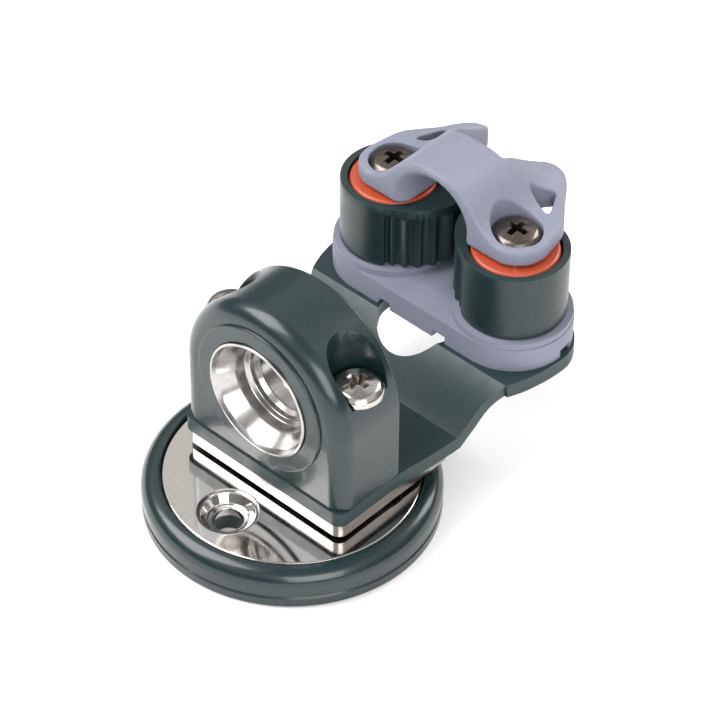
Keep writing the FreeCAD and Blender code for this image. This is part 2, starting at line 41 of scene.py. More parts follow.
# ---------------------------------------------------------------- base ring
# Round foot of dark green nylon, injection moulded, with a fat glossy bead round its rim and a
# thin skirt line just above the deck. Three holes take the screws that hold it down.

def clear_picks():
    """Leave nothing selected, so that a tool acts only on what comes next."""
    bpy.ops.object.select_all(action="DESELECT")


def take_up(piece):
    """Make one piece the only selected and active one."""
    clear_picks()
    piece.select_set(True)
    bpy.context.view_layer.objects.active = piece


def named(name):
    """Name the primitive that was just added."""
    piece = bpy.context.object
    piece.name = name
    piece.data.name = name
    return piece


def apply_to(piece, kind, **settings):
    """Add one modifier, set it and apply it."""
    take_up(piece)
    modifier = piece.modifiers.new(kind.lower(), kind)
    for setting, value in settings.items():
        setattr(modifier, setting, value)
    bpy.ops.object.modifier_apply(modifier=modifier.name)


def filleted(profile, steps):
    """Lathe profile of (radius, height, fillet) corners with every fillet drawn as a short arc."""
    rings = []
    count = len(profile)
    for index, (radius, height, fillet) in enumerate(profile):
        corner = Vector((radius, height))
        before = Vector(profile[index - 1][:2]) - corner
        after = Vector(profile[(index + 1) % count][:2]) - corner
        if fillet == 0:
            rings.append(corner)
            continue
        half = before.angle(after) / 2
        reach = fillet / math.tan(half)
        inwards = (before.normalized() + after.normalized()).normalized()
        middle = corner + inwards * fillet / math.sin(half)
        first = corner + before.normalized() * reach - middle
        turn = -first.angle_signed(corner + after.normalized() * reach - middle)
        for step in range(steps + 1):
            rings.append(middle + Matrix.Rotation(turn * step / steps, 2) @ first)
    return rings


def turned(name, profile, at=(0, 0), steps=6, around=128, capped=False):
    """Draw a circle up through the rings of a profile; uncapped profiles close on themselves."""
    rings = filleted(profile, steps)
    centre = Vector((at[0], at[1], 0))
    here = rings[0]
    clear_picks()
    bpy.ops.mesh.primitive_circle_add(
        vertices=around,
        radius=here.x * mm,
        fill_type="NGON" if capped else "NOTHING",
        location=(centre + Vector((0, 0, here.y))) * mm,
    )
    piece = named(name)
    bpy.ops.object.mode_set(mode="EDIT")
    bpy.ops.mesh.select_all(action="SELECT")
    following = rings[1:] if capped else rings[1:] + rings[:1]
    for ring in following:
        rise = (0, 0, (ring.y - here.y) * mm)
        bpy.ops.mesh.extrude_region_move(TRANSFORM_OT_translate={"value": rise})
        grow = ring.x / here.x
        middle = (centre + Vector((0, 0, ring.y))) * mm
        bpy.ops.transform.resize(value=(grow, grow, 1), center_override=middle)
        here = ring
    bpy.ops.mesh.select_all(action="SELECT")
    bpy.ops.mesh.remove_doubles(threshold=0.0005 * mm)
    bpy.ops.mesh.normals_make_consistent(inside=False)
    bpy.ops.object.mode_set(mode="OBJECT")
    return settled(piece)


def settled(piece):
    """Put the piece's place into its mesh and its object at the origin."""
    take_up(piece)
    bpy.ops.object.transform_apply(location=True, rotation=True, scale=True)
    return piece


def drill(radius, low, high, at=(0, 0), around=64, along_y=False):
    """Round cutter between two levels, or between two depths along Y at a height."""
    clear_picks()
    middle = (low + high) / 2
    bpy.ops.mesh.primitive_cylinder_add(
        vertices=around,
        radius=radius * mm,
        depth=(high - low) * mm,
        location=Vector((at[0], middle, at[1]) if along_y else (at[0], at[1], middle)) * mm,
        rotation=(math.pi / 2 if along_y else 0, 0, 0),
    )
    return settled(named("cutter"))


def block(low, high):
    """Square cutter or blank between two corners."""
    clear_picks()
    low, high = Vector(low), Vector(high)
    bpy.ops.mesh.primitive_cube_add(size=1, location=(low + high) / 2 * mm, scale=(high - low) * mm)
    return settled(named("cutter"))


def combine(piece, other, operation="DIFFERENCE"):
    """Cut one shape from the piece, or weld it on, and put the tool away."""
    apply_to(piece, "BOOLEAN", object=other, operation=operation, solver="MANIFOLD")
    bpy.data.objects.remove(other)


def soften(piece, width, segments=3, sharper_than=35):
    """Round off every edge that is sharper than an angle."""
    apply_to(
        piece,
        "BEVEL",
        width=width * mm,
        segments=segments,
        limit_method="ANGLE",
        angle_limit=math.radians(sharper_than),
        miter_outer="MITER_ARC",
        harden_normals=False,
    )


def smoothed(piece, sharper_than=40):
    """Shade the piece smooth, with flat faces kept flat right up to their rounded edges."""
    take_up(piece)
    bpy.ops.object.shade_smooth_by_angle(angle=math.radians(sharper_than))
    apply_to(piece, "WEIGHTED_NORMAL", mode="FACE_AREA", weight=60, keep_sharp=True)
    return piece


def node_group(name, inputs, outputs):
    """Empty shader group with named number or vector inputs and outputs."""
    group = bpy.data.node_groups.new(name, "ShaderNodeTree")
    kinds = {"Vector": "NodeSocketVector"}
    for socket, value in inputs:
        made = group.interface.new_socket(
            socket, in_out="INPUT", socket_type=kinds.get(socket, "NodeSocketFloat")
        )
        if value is not None:
            made.default_value = value
    for socket in outputs:
        group.interface.new_socket(socket, in_out="OUTPUT", socket_type="NodeSocketFloat")
    return group, group.nodes.new("NodeGroupInput"), group.nodes.new("NodeGroupOutput")


def noise(nodes, links, vector, scale, detail, roughness=0.5):
    """Noise texture on a vector, with its scale either a number or a socket."""
    texture = nodes.new("ShaderNodeTexNoise")
    texture.inputs["Detail"].default_value = detail
    texture.inputs["Roughness"].default_value = roughness
    links.new(vector, texture.inputs["Vector"])
    if isinstance(scale, (int, float)):
        texture.inputs["Scale"].default_value = scale
    else:
        links.new(scale, texture.inputs["Scale"])
    return texture.outputs["Fac"]


def remap(nodes, links, value, low, high, to_low=0.0, to_high=1.0):
    """Stretch part of a value's range over another range."""
    ranged = nodes.new("ShaderNodeMapRange")
    for socket, number in (
        ("From Min", low), ("From Max", high), ("To Min", to_low), ("To Max", to_high)
    ):
        ranged.inputs[socket].default_value = number
    links.new(value, ranged.inputs["Value"])
    return ranged.outputs["Result"]


def moulding_grain_group():
    """Skin of a moulded plastic: fine spark-eroded grain, slow sink waves and patches of shine."""
    group, start, end = node_group(
        "moulding_grain", [("Vector", None), ("Grain", 2600.0)], ["Height", "Tone", "Shine"]
    )
    nodes, links = group.nodes, group.links
    grain = noise(nodes, links, start.outputs["Vector"], start.outputs["Grain"], 3.0, 0.65)
    wave = noise(nodes, links, start.outputs["Vector"], 120.0, 2.0)
    total = nodes.new("ShaderNodeMath")
    total.operation = "MULTIPLY_ADD"
    total.inputs[1].default_value = 0.35
    links.new(grain, total.inputs[0])
    links.new(wave, total.inputs[2])
    links.new(total.outputs["Value"], end.inputs["Height"])
    mottle = noise(nodes, links, start.outputs["Vector"], start.outputs["Grain"], 2.0, 0.7)
    links.new(remap(nodes, links, mottle, 0.3, 0.7), end.inputs["Tone"])
    patch = noise(nodes, links, start.outputs["Vector"], 260.0, 3.0)
    links.new(remap(nodes, links, patch, 0.35, 0.65), end.inputs["Shine"])
    return group


def painted_edge_highlight_group():
    """Mask of the outer edges, where the colour is lightened as a painted highlight."""
    group, start, end = node_group("painted_edge_highlight", [("Amount", 1.0)], ["Mask"])
    nodes, links = group.nodes, group.links
    geometry = nodes.new("ShaderNodeNewGeometry")
    # Sharp edges are picked out for a painted highlight.
    edge = remap(nodes, links, geometry.outputs["Pointiness"], 0.52, 0.6)
    scaled = nodes.new("ShaderNodeMath")
    scaled.operation = "MULTIPLY"
    links.new(edge, scaled.inputs[0])
    links.new(start.outputs["Amount"], scaled.inputs[1])
    links.new(scaled.outputs["Value"], end.inputs["Mask"])
    return group


moulding_grain = moulding_grain_group()
painted_edge_highlight = painted_edge_highlight_group()


def rgb(red, green, blue):
    """Colour given in display values from 0 to 255 as the linear colour a shader reads."""
    linear = [((value / 255 + 0.055) / 1.055) ** 2.4 for value in (red, green, blue)]
    return (*linear, 1.0)


def blank_material(name):
    """New node material with its shader and the piece's own coordinates."""
    material = bpy.data.materials.new(name)
    material.use_nodes = True
    tree = material.node_tree
    shader = tree.nodes["Principled BSDF"]
    place = tree.nodes.new("ShaderNodeTexCoord").outputs["Object"]
    return material, tree.nodes, tree.links, shader, place


def blended(nodes, links, mask, first, second):
    """Colour that goes from the first to the second as the mask rises."""
    mix = nodes.new("ShaderNodeMix")
    mix.data_type = "RGBA"
    for socket, colour in ((mix.inputs[6], first), (mix.inputs[7], second)):
        if isinstance(colour, tuple):
            socket.default_value = colour
        else:
            links.new(colour, socket)
    links.new(mask, mix.inputs[0])
    return mix.outputs[2]


def moulded_plastic(name, dark, light, edge, roughness, grain, depth, gloss=0.0, highlight_strength=0.5):
    """Plastic with grain in its colour, shine and surface, and a painted highlight that pales its
    edges.
    """
    material, nodes, links, shader, place = blank_material(name)
    skin = nodes.new("ShaderNodeGroup")
    skin.node_tree = moulding_grain
    skin.inputs["Grain"].default_value = grain
    links.new(place, skin.inputs["Vector"])
    # Painted highlight: the paler edge colour is mixed in along sharp edges.
    highlight_mix = nodes.new("ShaderNodeGroup")
    highlight_mix.node_tree = painted_edge_highlight
    highlight_mix.inputs["Amount"].default_value = highlight_strength
    colour = blended(nodes, links, skin.outputs["Tone"], dark, light)
    links.new(
        blended(nodes, links, highlight_mix.outputs["Mask"], colour, edge), shader.inputs["Base Color"]
    )
    low, high = roughness
    links.new(
        remap(nodes, links, skin.outputs["Shine"], 0.0, 1.0, low, high), shader.inputs["Roughness"]
    )
    bump = nodes.new("ShaderNodeBump")
    bump.inputs["Strength"].default_value = 0.5
    bump.inputs["Distance"].default_value = depth * mm
    links.new(skin.outputs["Height"], bump.inputs["Height"])
    links.new(bump.outputs["Normal"], shader.inputs["Normal"])
    shader.inputs["Coat Weight"].default_value = gloss
    shader.inputs["Coat Roughness"].default_value = 0.06
    return material


def fitted(piece, material, body, slot, *nodes):
    """Give a finished piece its material, the body it moves with and the solids it stands for."""
    piece.data.materials.clear()
    piece.data.materials.append(material)
    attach(piece, body)
    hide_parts(*nodes)
    return piece


def refinish(material, *nodes):
    """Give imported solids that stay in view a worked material."""
    for node in nodes:
        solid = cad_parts[node]
        solid.data.materials.clear()
        solid.data.materials.append(material)


# Each plastic's edge colour and its strength set a painted highlight along its sharp edges.
green_gloss = moulded_plastic(
    "green_gloss",
    dark=rgb(19, 35, 38),
    light=rgb(26, 45, 48),
    edge=rgb(48, 68, 70),
    roughness=(0.22, 0.28),
    grain=3200.0,
    depth=0.01,
    gloss=0.25,
    highlight_strength=0.15,
)
screw_circle = 14.2
screw_places = [
    (screw_circle * math.cos(math.radians(angle)), screw_circle * math.sin(math.radians(angle)))
    for angle in (-94, 26, 146)
]
base_ring = turned(
    "base_ring_moulding",
    [
        (5.8, 0.0, 0.15),
        (25.15, 0.0, 0.35),
        (25.15, 1.75, 0.2),
        (24.8, 2.05, 0.1),
        (25.15, 2.4, 0.3),
        (25.15, 6.88, 2.75),
        (21.88, 6.88, 0.4),
        (21.88, 4.9, 0),
        (3.3, 4.9, 0),
        (3.3, 2.3, 0),
        (5.8, 2.3, 0),
    ],
    steps=9,
    around=160,
)
deck_screw_bore, dish_room, dish_room_floor = 2.62, 4.85, 2.9
for spot in screw_places:
    combine(base_ring, drill(deck_screw_bore, -1, 8, spot))
    combine(base_ring, drill(dish_room, dish_room_floor, 8, spot))
smoothed(base_ring)
fitted(base_ring, green_gloss, "base", "green_gloss", "base_ring")


# ---------------------------------------------------------------- base disc
# Stainless steel disc pressed into the ring and polished to a mirror. Each screw hole is dished
# down so that a countersunk head sits flush, and the outer edge is rolled to a bright lip.

def steel_haze_group():
    """Surface of worked steel: fine scratches, a slow orange-peel wave and smears of haze."""
    group, start, end = node_group(
        "steel_haze", [("Vector", None), ("Scratch", 900.0)], ["Height", "Haze", "Tone"]
    )
    nodes, links = group.nodes, group.links
    stretch = nodes.new("ShaderNodeMapping")
    stretch.inputs["Scale"].default_value = (1.0, 0.12, 0.6)
    stretch.inputs["Rotation"].default_value = (0.2, 0.1, 0.6)
    links.new(start.outputs["Vector"], stretch.inputs["Vector"])
    scratch = noise(nodes, links, stretch.outputs["Vector"], start.outputs["Scratch"], 6.0, 0.75)
    peel = noise(nodes, links, start.outputs["Vector"], 90.0, 1.0)
    total = nodes.new("ShaderNodeMath")
    total.operation = "MULTIPLY_ADD"
    total.inputs[1].default_value = 0.06
    links.new(scratch, total.inputs[0])
    links.new(peel, total.inputs[2])
    links.new(total.outputs["Value"], end.inputs["Height"])
    smear = noise(nodes, links, start.outputs["Vector"], 180.0, 4.0, 0.6)
    links.new(remap(nodes, links, smear, 0.35, 0.75), end.inputs["Haze"])
    links.new(remap(nodes, links, scratch, 0.3, 0.7), end.inputs["Tone"])
    return group


steel_haze = steel_haze_group()


def worked_steel(name, dark, light, roughness, scratch, depth):
    """Steel with scratches and haze in its shine."""
    material, nodes, links, shader, place = blank_material(name)
    skin = nodes.new("ShaderNodeGroup")
    skin.node_tree = steel_haze
    skin.inputs["Scratch"].default_value = scratch
    links.new(place, skin.inputs["Vector"])
    links.new(blended(nodes, links, skin.outputs["Tone"], dark, light), shader.inputs["Base Color"])
    low, high = roughness
    links.new(
        remap(nodes, links, skin.outputs["Haze"], 0.0, 1.0, low, high), shader.inputs["Roughness"]
    )
    bump = nodes.new("ShaderNodeBump")
    bump.inputs["Strength"].default_value = 0.4
    bump.inputs["Distance"].default_value = depth * mm
    links.new(skin.outputs["Height"], bump.inputs["Height"])
    links.new(bump.outputs["Normal"], shader.inputs["Normal"])
    shader.inputs["Metallic"].default_value = 1.0
    return material


polished_steel = worked_steel(
    "polished_steel",
    dark=rgb(206, 202, 199),
    light=rgb(216, 213, 210),
    roughness=(0.06, 0.13),
    scratch=1500.0,
    depth=0.003,
)
disc_low, disc_top, disc_edge = 4.95, 6.5, 21.7
bearing_seat, dish_blank = 7.1, 5.3
disc = turned(
    "base_disc_pressing",
    [
        (bearing_seat, disc_low, 0),
        (disc_edge, disc_low, 0.1),
        (disc_edge, disc_top, 0.4),
        (bearing_seat, disc_top, 0),
    ],
    around=160,
)
for spot in screw_places:
    combine(disc, drill(dish_blank, 2, 9, spot, around=96))
    dish = turned(
        "dish",
        [
            (5.4, disc_low, 0),
            (5.4, disc_top, 0),
            (4.75, disc_top, 1.1),
            (3.55, 4.6, 0.7),
            (2.6, 4.45, 0.25),
            (2.6, 2.95, 0),
            (4.6, 2.95, 0),
            (4.7, disc_low, 0),
        ],
        at=spot,
        around=96,
        steps=8,
    )
    combine(disc, dish, "UNION")
smoothed(disc, 50)
fitted(disc, polished_steel, "base", "polished_steel", "base_disc")


# ---------------------------------------------------------------- swivel bearing
# Hollow steel rivet, two hardened races, a ring of loose balls and a washer. They lie under the
# plate, and the turned solids are already the shape of the real parts, so they only get a finish.

bearing_steel = worked_steel(
    "bearing_steel",
    dark=rgb(168, 166, 164),
    light=rgb(205, 203, 200),
    roughness=(0.1, 0.25),
    scratch=2200.0,
    depth=0.01,
)
refinish(bearing_steel, "swivel_balls", "lower_race", "upper_race", "swivel_post")
white_acetal = moulded_plastic(
    "white_acetal",
    dark=rgb(214, 212, 205),
    light=rgb(232, 230, 224),
    edge=rgb(240, 240, 236),
    roughness=(0.3, 0.45),
    grain=2400.0,
    depth=0.006,
)
refinish(white_acetal, "thrust_washer")


# ---------------------------------------------------------------- swivel plate
# Stainless plate with rounded front corners, its edge turned down a little towards the disc and
# tumbled bright. It is tapped for the two screws that clamp the arm and the housing to it.

plate_half, plate_front, plate_rear, plate_lip = 17.4, -7.1, 18.6, 1.4
plate_low, plate_web, plate_top = 7.25, 8.0, 10.2
bearing_bore, tapped_bore = 7.05, 2.05
clamp_x, clamp_y = 14, 0.6
plate = block((-plate_half, plate_front, plate_low), (plate_half, plate_rear, plate_top))
plate.name = "swivel_plate_sheet"
bpy.ops.object.mode_set(mode="EDIT")


def pick(piece, kind, test):
    """In edit mode, select only the corners, edges or faces whose middle passes the test, in mm."""
    mesh = bmesh.from_edit_mesh(piece.data)
    bpy.ops.mesh.select_all(action="DESELECT")
    bpy.context.tool_settings.mesh_select_mode = [
        kind == each for each in ("verts", "edges", "faces")
    ]
    for item in getattr(mesh, kind):
        corners = [item] if kind == "verts" else list(item.verts)
        if all(test(corner.co / mm) for corner in corners):
            item.select_set(True)
    mesh.select_flush_mode()
    bmesh.update_edit_mesh(piece.data)


for side in (-plate_half, plate_half):
    pick(plate, "edges", lambda p: abs(p.x - side) < 0.01 and p.y < plate_front + 0.1)
    bpy.ops.mesh.bevel(offset=1.8 * mm, segments=10)
bpy.ops.object.mode_set(mode="OBJECT")
hollow_half = plate_half - plate_lip
hollow_low = (-hollow_half, plate_front + plate_lip, plate_low - 0.25)
combine(plate, block(hollow_low, (hollow_half, plate_rear - plate_lip, plate_web)))
combine(plate, drill(bearing_bore, 0, 20))
for side in (-clamp_x, clamp_x):
    combine(plate, drill(tapped_bore, 0, 20, (side, clamp_y)))
soften(plate, 0.3)
smoothed(plate)
tumbled_steel = worked_steel(
    "tumbled_steel",
    dark=rgb(158, 153, 149),
    light=rgb(182, 178, 175),
    roughness=(0.24, 0.36),
    scratch=1900.0,
    depth=0.006,
)
fitted(plate, tumbled_steel, "swivel", "polished_steel", "swivel_plate")


# ---------------------------------------------------------------- swivel arm
# Glass-filled nylon arm with a fine eroded grain. It lies flat under the housing, climbs from a
# crease behind it, and widens in a long S to the round-cornered deck that carries the cleat.

arm_front, arm_rear = -7.6, 50.2
arm_level, deck_level, arm_thickness = 12.9, 20.4, 2.7
crease, ramp_end = 19.3, 28.0
nose_round, tail_round = 2.0, 10.0
rivet_room, window_radius, window_y, screw_bore = 5.85, 7.4, 31.4, 2.15
cam_x, cam_y = 13.5, 39.1
arm_widths = [
    (-7.6, 17.9),
    (7.0, 18.0),
    (13.0, 18.75),
    (17.5, 19.1),
    (21.0, 19.4),
    (24.5, 20.0),
    (27.5, 21.6),
    (31.0, 23.0),
    (35.0, 23.9),
    (39.0, 24.3),
    (50.2, 24.3),
]


def eased(points, place):
    """Value at a place along (place, value) points, on a smooth curve through them."""
    inner = [index for index in range(1, len(points) - 2) if points[index][0] <= place]
    index = inner[-1] if inner else 0
    low, high = points[index], points[index + 1]
    before = points[max(index - 1, 0)]
    after = points[min(index + 2, len(points) - 1)]
    span = high[0] - low[0]
    share = (place - low[0]) / span
    slope_low = (high[1] - before[1]) / (high[0] - before[0]) * span
    slope_high = (after[1] - low[1]) / (after[0] - low[0]) * span
    square, cube = share ** 2, share ** 3
    return (
        (2 * cube - 3 * square + 1) * low[1]
        + (cube - 2 * square + share) * slope_low
        + (3 * square - 2 * cube) * high[1]
        + (cube - square) * slope_high
    )


def end_round(distance, radius):
    """How far an outline is drawn in at a distance from its end, for a round corner."""
    inside = max(radius - distance, 0)
    return radius - math.sqrt(max(radius ** 2 - inside ** 2, 0))


def arm_height(y):
    """Level of the arm's upper face."""
    rise = deck_level - arm_level
    share = min(max((y - crease) / (ramp_end - crease), 0), 1)
    soft = share * share * (3 - 2 * share)
    return arm_level + rise * (0.75 * share + 0.25 * soft)


rows = [arm_front + nose_round * (1 - math.cos(math.pi / 2 * step / 6)) for step in range(7)]
rows += [-4, 0, 4, 7, 9, 11, 13, 15, 17, 18.4, 18.9, crease, 19.7, 20.4]
rows += [21.5, 22.5, 23.5, 24.5, 25.5, 26.5, 27.3]
rows += [27.7, ramp_end, 28.4, 29, 30, 31, 32, 33, 34, 35, 36, 37, 38, 39]
rows += [
    arm_rear - tail_round + tail_round * math.sin(math.pi / 2 * step / 18) for step in range(19)
]
clear_picks()
bpy.ops.mesh.primitive_grid_add(x_subdivisions=12, y_subdivisions=len(rows) - 1, size=1)
arm = named("swivel_arm_moulding")
bpy.ops.object.mode_set(mode="EDIT")
for index, y in enumerate(rows):
    start = index / (len(rows) - 1) - 0.5
    pick(arm, "verts", lambda p: abs(p.y * mm - start) < 0.2 / len(rows) and abs(p.z * mm) < 1e-9)
    nose = end_round(y - arm_front, nose_round)
    tail = end_round(arm_rear - y, tail_round)
    half = eased(arm_widths, y) - nose - tail
    bpy.ops.transform.resize(value=(2 * half * mm, 1, 1), center_override=(0, 0, 0))
    bpy.ops.transform.translate(value=(0, y * mm - start, arm_height(y) * mm))
bpy.ops.object.mode_set(mode="OBJECT")
apply_to(arm, "SOLIDIFY", thickness=arm_thickness * mm, offset=-1, use_even_offset=True)
combine(arm, drill(rivet_room, 0, 30))
combine(arm, drill(window_radius, 0, 40, (0, window_y), around=96))
for side in (-1, 1):
    combine(arm, drill(screw_bore, 0, 30, (side * clamp_x, clamp_y)))
    combine(arm, drill(screw_bore, 0, 40, (side * cam_x, cam_y)))
soften(arm, 0.35, 3, 50)
smoothed(arm, 30)
green_moulding = moulded_plastic(
    "green_moulding",
    dark=rgb(24, 42, 44),
    light=rgb(33, 53, 56),
    edge=rgb(52, 72, 74),
    roughness=(0.4, 0.48),
    grain=3000.0,
    depth=0.03,
    gloss=0.0,
    highlight_strength=0.15,
)
fitted(arm, green_moulding, "swivel", "green_moulding", "swivel_arm")


# ---------------------------------------------------------------- fairlead housing
# Arched block of the same nylon round the rope eye. Its front edge is a broad polished round, a
# low ring stands round the eye, and each shoulder has a pocket for a clamping screw.

house_half, house_arch, house_front, house_rear = 17.88, 26.4, -7.28, 6.68
house_foot, front_round, rear_round = 12.92, 3.1, 0.45
eye_level, eye_bore = 27.6, 10.6
pocket_radius, pocket_floor = 4.9, 32.6
housing = drill(house_half, house_front, house_rear, (0, house_arch), around=128, along_y=True)
housing.name = "fairlead_housing_moulding"
bpy.ops.object.mode_set(mode="EDIT")
pick(housing, "verts", lambda p: p.z < house_arch + 0.01)
bpy.ops.transform.resize(value=(1, 1, 0), center_override=(0, 0, house_arch * mm))
bpy.ops.transform.translate(value=(0, 0, (house_foot - house_arch) * mm))
bpy.ops.mesh.select_all(action="SELECT")
bpy.ops.mesh.dissolve_limited(angle_limit=math.radians(0.5))
pick(housing, "edges", lambda p: p.z < house_foot + 0.01)
bpy.ops.mesh.subdivide(number_cuts=1)
pick(
    housing,
    "edges",
    lambda p: p.y < house_front + 0.01 and (abs(p.x) > house_half - 0.01 or p.z > house_arch),
)
bpy.ops.mesh.bevel(offset=front_round * mm, segments=10)
pick(
    housing,
    "edges",
    lambda p: p.y > house_rear - 0.01 and (abs(p.x) > house_half - 0.01 or p.z > house_arch),
)
bpy.ops.mesh.bevel(offset=rear_round * mm, segments=3)
bpy.ops.object.mode_set(mode="OBJECT")


def facing_front(piece, level, start):
    """Lay a turned piece over so that its axis runs along Y at a height."""
    piece.rotation_euler = (-math.pi / 2, 0, 0)
    piece.location = Vector((0, start, level)) * mm
    return settled(piece)


boss = turned("boss", [(8, -3, 0), (13.6, -3, 0), (13.5, 0.45, 0.3), (8, 0.45, 0)], around=128)
boss.rotation_euler = (math.pi / 2, 0, 0)
boss.location = Vector((0, house_front, eye_level)) * mm
combine(housing, settled(boss), "UNION")
combine(housing, drill(eye_bore, -20, 20, (0, eye_level), around=128, along_y=True))
for side in (-1, 1):
    combine(housing, drill(pocket_radius, pocket_floor, 60, (side * clamp_x, clamp_y)))
    combine(housing, drill(screw_bore, 0, 60, (side * clamp_x, clamp_y)))
soften(housing, 0.42, 4, 42)
smoothed(housing, 35)
housing_gloss = moulded_plastic(
    "housing_gloss",
    dark=rgb(20, 36, 39),
    light=rgb(27, 46, 49),
    edge=rgb(48, 68, 70),
    roughness=(0.24, 0.3),
    grain=3000.0,
    depth=0.012,
    gloss=0.2,
    highlight_strength=0.12,
)
fitted(housing, housing_gloss, "swivel", "green_moulding", "fairlead_housing")


# ---------------------------------------------------------------- rope eye liner
# Stainless liner pressed into the housing's bore so that the rope never touches plastic. Both
# mouths flare, and a rolled step shows part of the way down the throat.

liner = turned(
    "bullseye_liner",
    [
        (10.48, 0.0, 0.15),
        (10.48, 15.0, 0.3),
        (9.3, 15.0, 0.5),
        (7.9, 12.3, 1.6),
        (6.35, 10.4, 1.6),
        (6.35, 7.4, 0.6),
        (6.9, 6.5, 0.4),
        (7.0, 5.7, 0.3),
        (7.75, 5.2, 0.4),
        (7.9, 3.4, 1.2),
        (9.5, 0.5, 1.6),
        (10.1, -0.08, 0.12),
    ],
    around=160,
    steps=7,
)
facing_front(liner, eye_level, -8.1)
smoothed(liner, 60)
mirror_steel = worked_steel(
    "liner_steel",
    dark=rgb(176, 173, 171),
    light=rgb(198, 196, 194),
    roughness=(0.19, 0.28),
    scratch=1300.0,
    depth=0.004,
)
fitted(liner, mirror_steel, "swivel", "polished_steel", "bullseye")


# ---------------------------------------------------------------- housing screws
# Two bright M4 pan-head screws with a pressed cross recess, one in each shoulder pocket. They
# pass through the housing and the arm into the tapped plate.

def cross_cutter(x, y, top):
    """Tapered cross that the punch leaves in a screw head."""
    tool = None
    for reach_x, reach_y in ((2.6, 0.72), (0.72, 2.6)):
        bar = block((x - reach_x, y - reach_y, top - 1.9), (x + reach_x, y + reach_y, top + 1))
        bpy.ops.object.mode_set(mode="EDIT")
        pick(bar, "faces", lambda p: p.z < top - 1.8)
        bpy.ops.transform.resize(value=(0.4, 0.4, 1), center_override=Vector((x, y, top)) * mm)
        bpy.ops.object.mode_set(mode="OBJECT")
        if tool is None:
            tool = bar
        else:
            combine(tool, bar, "UNION")
    return tool


def pan_head_screw(name, x, y, top, tip, dome, head):
    """Screw turned from wire: shank, flat-bottomed head with a domed top, and a cross recess."""
    seat = top - 2.4
    screw = turned(
        name,
        [
            (0.05, tip, 0),
            (1.6, tip, 0),
            (1.98, tip + 0.4, 0),
            (1.98, seat, 0.05),
            (head, seat, 0.15),
            (head, seat + 1.1, 0.6),
            (head - 0.85, top - dome, 1.2),
            (1.2, top - 0.02, 1.5),
            (0.05, top - 0.02, 0),
        ],
        at=(x, y),
        around=96,
        steps=7,
        capped=True,
    )
    combine(screw, cross_cutter(x, y, top))
    soften(screw, 0.09, 2, 38)
    return smoothed(screw, 35)


screw_steel = worked_steel(
    "screw_steel",
    dark=rgb(176, 170, 166),
    light=rgb(214, 210, 207),
    roughness=(0.1, 0.24),
    scratch=2600.0,
    depth=0.012,
)
for side, end in ((1, "right"), (-1, "left")):
    screw = pan_head_screw(
        "housing_screw_" + end, side * clamp_x, clamp_y, top=35.0, tip=8.15, dome=0.45, head=4.35
    )
    fitted(screw, screw_steel, "swivel", "screw_steel", "housing_screws")


# ---------------------------------------------------------------- cleat base
# Lilac-grey moulding with a stadium outline, lightly eroded all over. Two round seats stand
# proud under the cams, and small notches along the foot let water out.

base_end, base_foot, bed_level = 10.28, 20.42, 24.9
seat_radius, seat_level = 10.12, 26.1
notch_half, notch_top = 1.4, 21.9
cleat_base = drill(base_end, base_foot, bed_level, (cam_x, cam_y), around=128)
cleat_base.name = "cleat_base_moulding"
bpy.ops.object.mode_set(mode="EDIT")
pick(cleat_base, "verts", lambda p: p.x < cam_x - 0.01)
bpy.ops.transform.translate(value=(-2 * cam_x * mm, 0, 0))
bpy.ops.object.mode_set(mode="OBJECT")
for side in (-1, 1):
    combine(
        cleat_base, drill(seat_radius, 24, seat_level, (side * cam_x, cam_y), around=128), "UNION"
    )
    combine(cleat_base, drill(screw_bore, 0, 40, (side * cam_x, cam_y)))
    for y in (cam_y - 10.3, cam_y + 10.3):
        x = side * 6.2
        combine(
            cleat_base, block((x - notch_half, y - 1.5, 19), (x + notch_half, y + 1.5, notch_top))
        )
    x = side * 23.8
    combine(cleat_base, block((x - 1.5, cam_y + 0.4, 19), (x + 1.5, cam_y + 3.2, notch_top)))
soften(cleat_base, 0.45, 4, 40)
smoothed(cleat_base, 35)
grey_moulding = moulded_plastic(
    "grey_moulding",
    dark=rgb(120, 124, 140),
    light=rgb(131, 135, 151),
    edge=rgb(150, 152, 166),
    roughness=(0.5, 0.6),
    grain=2600.0,
    depth=0.03,
    gloss=0.0,
    highlight_strength=0.15,
)
fitted(cleat_base, grey_moulding, "swivel", "grey_moulding", "cleat_base")


# ---------------------------------------------------------------- cams
# Moulded cams with a plain round back and a spiral face of upright teeth that swing in on the
# rope. The teeth stop short of the top rim in little pointed roofs.

cam_low, cam_high, cam_back = 26.4, 38.8, 9.08
grip_start, grip_end, teeth = -62, 30, 7
tooth_foot, tooth_roof, tooth_eaves = cam_low + 0.35, cam_high - 2.4, cam_high - 1.6
columns = 180
tooth_depth, ball_room, keeper_room, keeper_room_depth = 0.95, 7.12, 7.8, 1.9


def cam_reach(angle):
    """Radius of the cam's smooth envelope at an angle from the rope, in degrees."""
    spiral = 12.15 * math.exp(0.3375 * math.radians(angle))
    if angle <= grip_end:
        return max(cam_back, spiral)
    peak = 12.15 * math.exp(0.3375 * math.radians(grip_end))
    fall = min((angle - grip_end) / 42, 1)
    return cam_back + (peak - cam_back) * (1 - fall * fall * (3 - 2 * fall))


def flute(angle):
    """Depth cut between the teeth at an angle, from 0 on a tooth's crest to 1 in the gap."""
    if not grip_start + 4 < angle < grip_end + 4:
        return 0
    share = (angle - grip_start) * teeth / (grip_end - grip_start) % 1
    return min(1, 2.6 * min(share, 1 - share))


